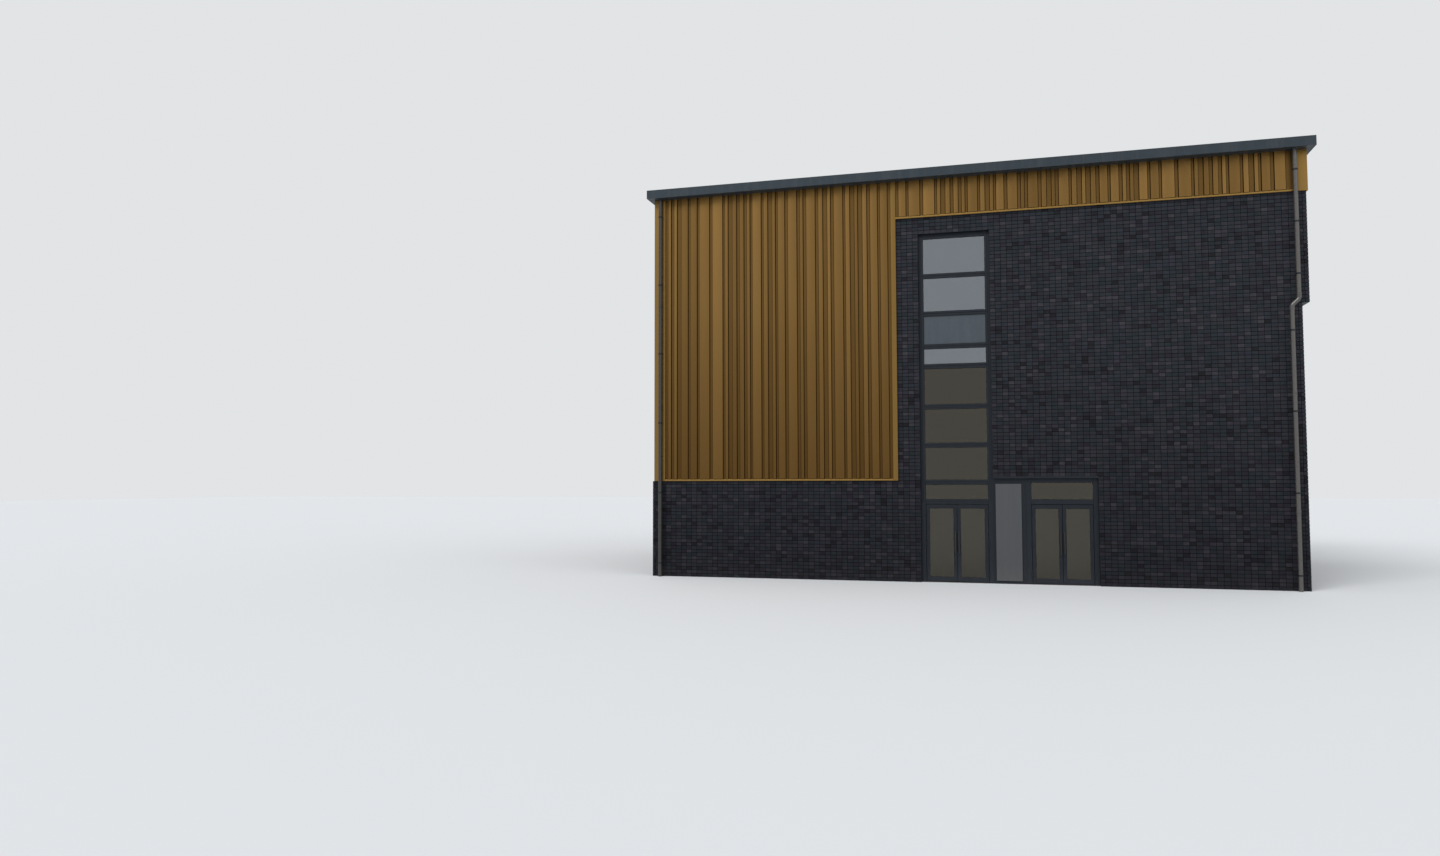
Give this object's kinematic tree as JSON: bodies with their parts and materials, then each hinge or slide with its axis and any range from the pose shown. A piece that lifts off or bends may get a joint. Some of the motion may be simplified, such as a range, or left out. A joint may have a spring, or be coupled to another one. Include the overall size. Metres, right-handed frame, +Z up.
{
  "type": "school building",
  "caption": "Flat-roofed brick school block with gold ribbed cladding, a tall strip window and glazed double doors that open outwards.",
  "frame": {"origin": "centre of the roof's plan, on the ground", "axes": "+Z up, +X along the front to the right, the front faces -Y"},
  "size_m": [17.89, 13.3, 11.48],
  "materials": {
    "floor_concrete": "matte screed",
    "roof_deck": "matte",
    "roof_membrane": "matte",
    "dark_brick": "matte fired brick",
    "fascia_metal": "satin",
    "gold_cladding": "satin metallic",
    "gold_trim": "satin metallic",
    "window_glass": "clear reflective",
    "spandrel_grey": "satin",
    "grey_panel": "satin",
    "pipe_grey": "satin",
    "frame_dark": "satin"
  },
  "bodies": {
    "building": {"ground_floor": "floor_concrete", "first_floor": "floor_concrete", "second_floor": "floor_concrete", "roof_deck": "roof_deck", "roof_covering": "roof_membrane", "front_wall_plinth": "dark_brick", "front_wall_upper_left": "dark_brick", "front_wall_over_strip": "dark_brick", "front_wall_over_doors": "dark_brick", "front_wall_right_lower": "dark_brick", "front_wall_right_upper": "dark_brick", "left_wall_plinth": "dark_brick", "left_wall_upper": "dark_brick", "right_wall_lower": "dark_brick", "right_wall_upper": "dark_brick", "back_wall_left": "dark_brick", "back_wall_right": "dark_brick", "back_wall_over_window": "dark_brick", "front_fascia": "fascia_metal", "back_fascia": "fascia_metal", "left_fascia": "fascia_metal", "right_fascia": "fascia_metal", "front_cladding": "gold_cladding", "front_band": "gold_cladding", "left_cladding": "gold_cladding", "right_band": "gold_cladding", "back_band": "gold_cladding", "front_cladding_trim": "gold_trim", "corner_trims": "gold_trim", "strip_window_frame": "frame_dark", "front_glazing": "window_glass", "spandrel_panels": "spandrel_grey", "back_window_frame": "frame_dark", "back_glazing": "window_glass", "grey_panel": "grey_panel", "panel_backing": "frame_dark", "door_2_frame": "frame_dark", "downpipe_left": "pipe_grey", "downpipe_right": "pipe_grey"},
    "door_1_left": {"door_1_left_leaf": "frame_dark", "door_1_left_glass": "window_glass"},
    "door_1_right": {"door_1_right_leaf": "frame_dark", "door_1_right_glass": "window_glass"},
    "door_2_left": {"door_2_left_leaf": "frame_dark", "door_2_left_glass": "window_glass"},
    "door_2_right": {"door_2_right_leaf": "frame_dark", "door_2_right_glass": "window_glass"}
  },
  "joints": [
    {"name": "door_1_left_hinge", "type": "hinge", "parent": "building", "child": "door_1_left", "pos_m": [-0.88, -6.214, 1.1], "axis": [0, 0, -1], "range_deg": [0, 90]},
    {"name": "door_1_right_hinge", "type": "hinge", "parent": "building", "child": "door_1_right", "pos_m": [0.79, -6.214, 1.1], "axis": [0, 0, 1], "range_deg": [0, 90]},
    {"name": "door_2_left_hinge", "type": "hinge", "parent": "building", "child": "door_2_left", "pos_m": [1.92, -6.214, 1.1], "axis": [0, 0, -1], "range_deg": [0, 90]},
    {"name": "door_2_right_hinge", "type": "hinge", "parent": "building", "child": "door_2_right", "pos_m": [3.49, -6.214, 1.1], "axis": [0, 0, 1], "range_deg": [0, 90]}
  ]
}
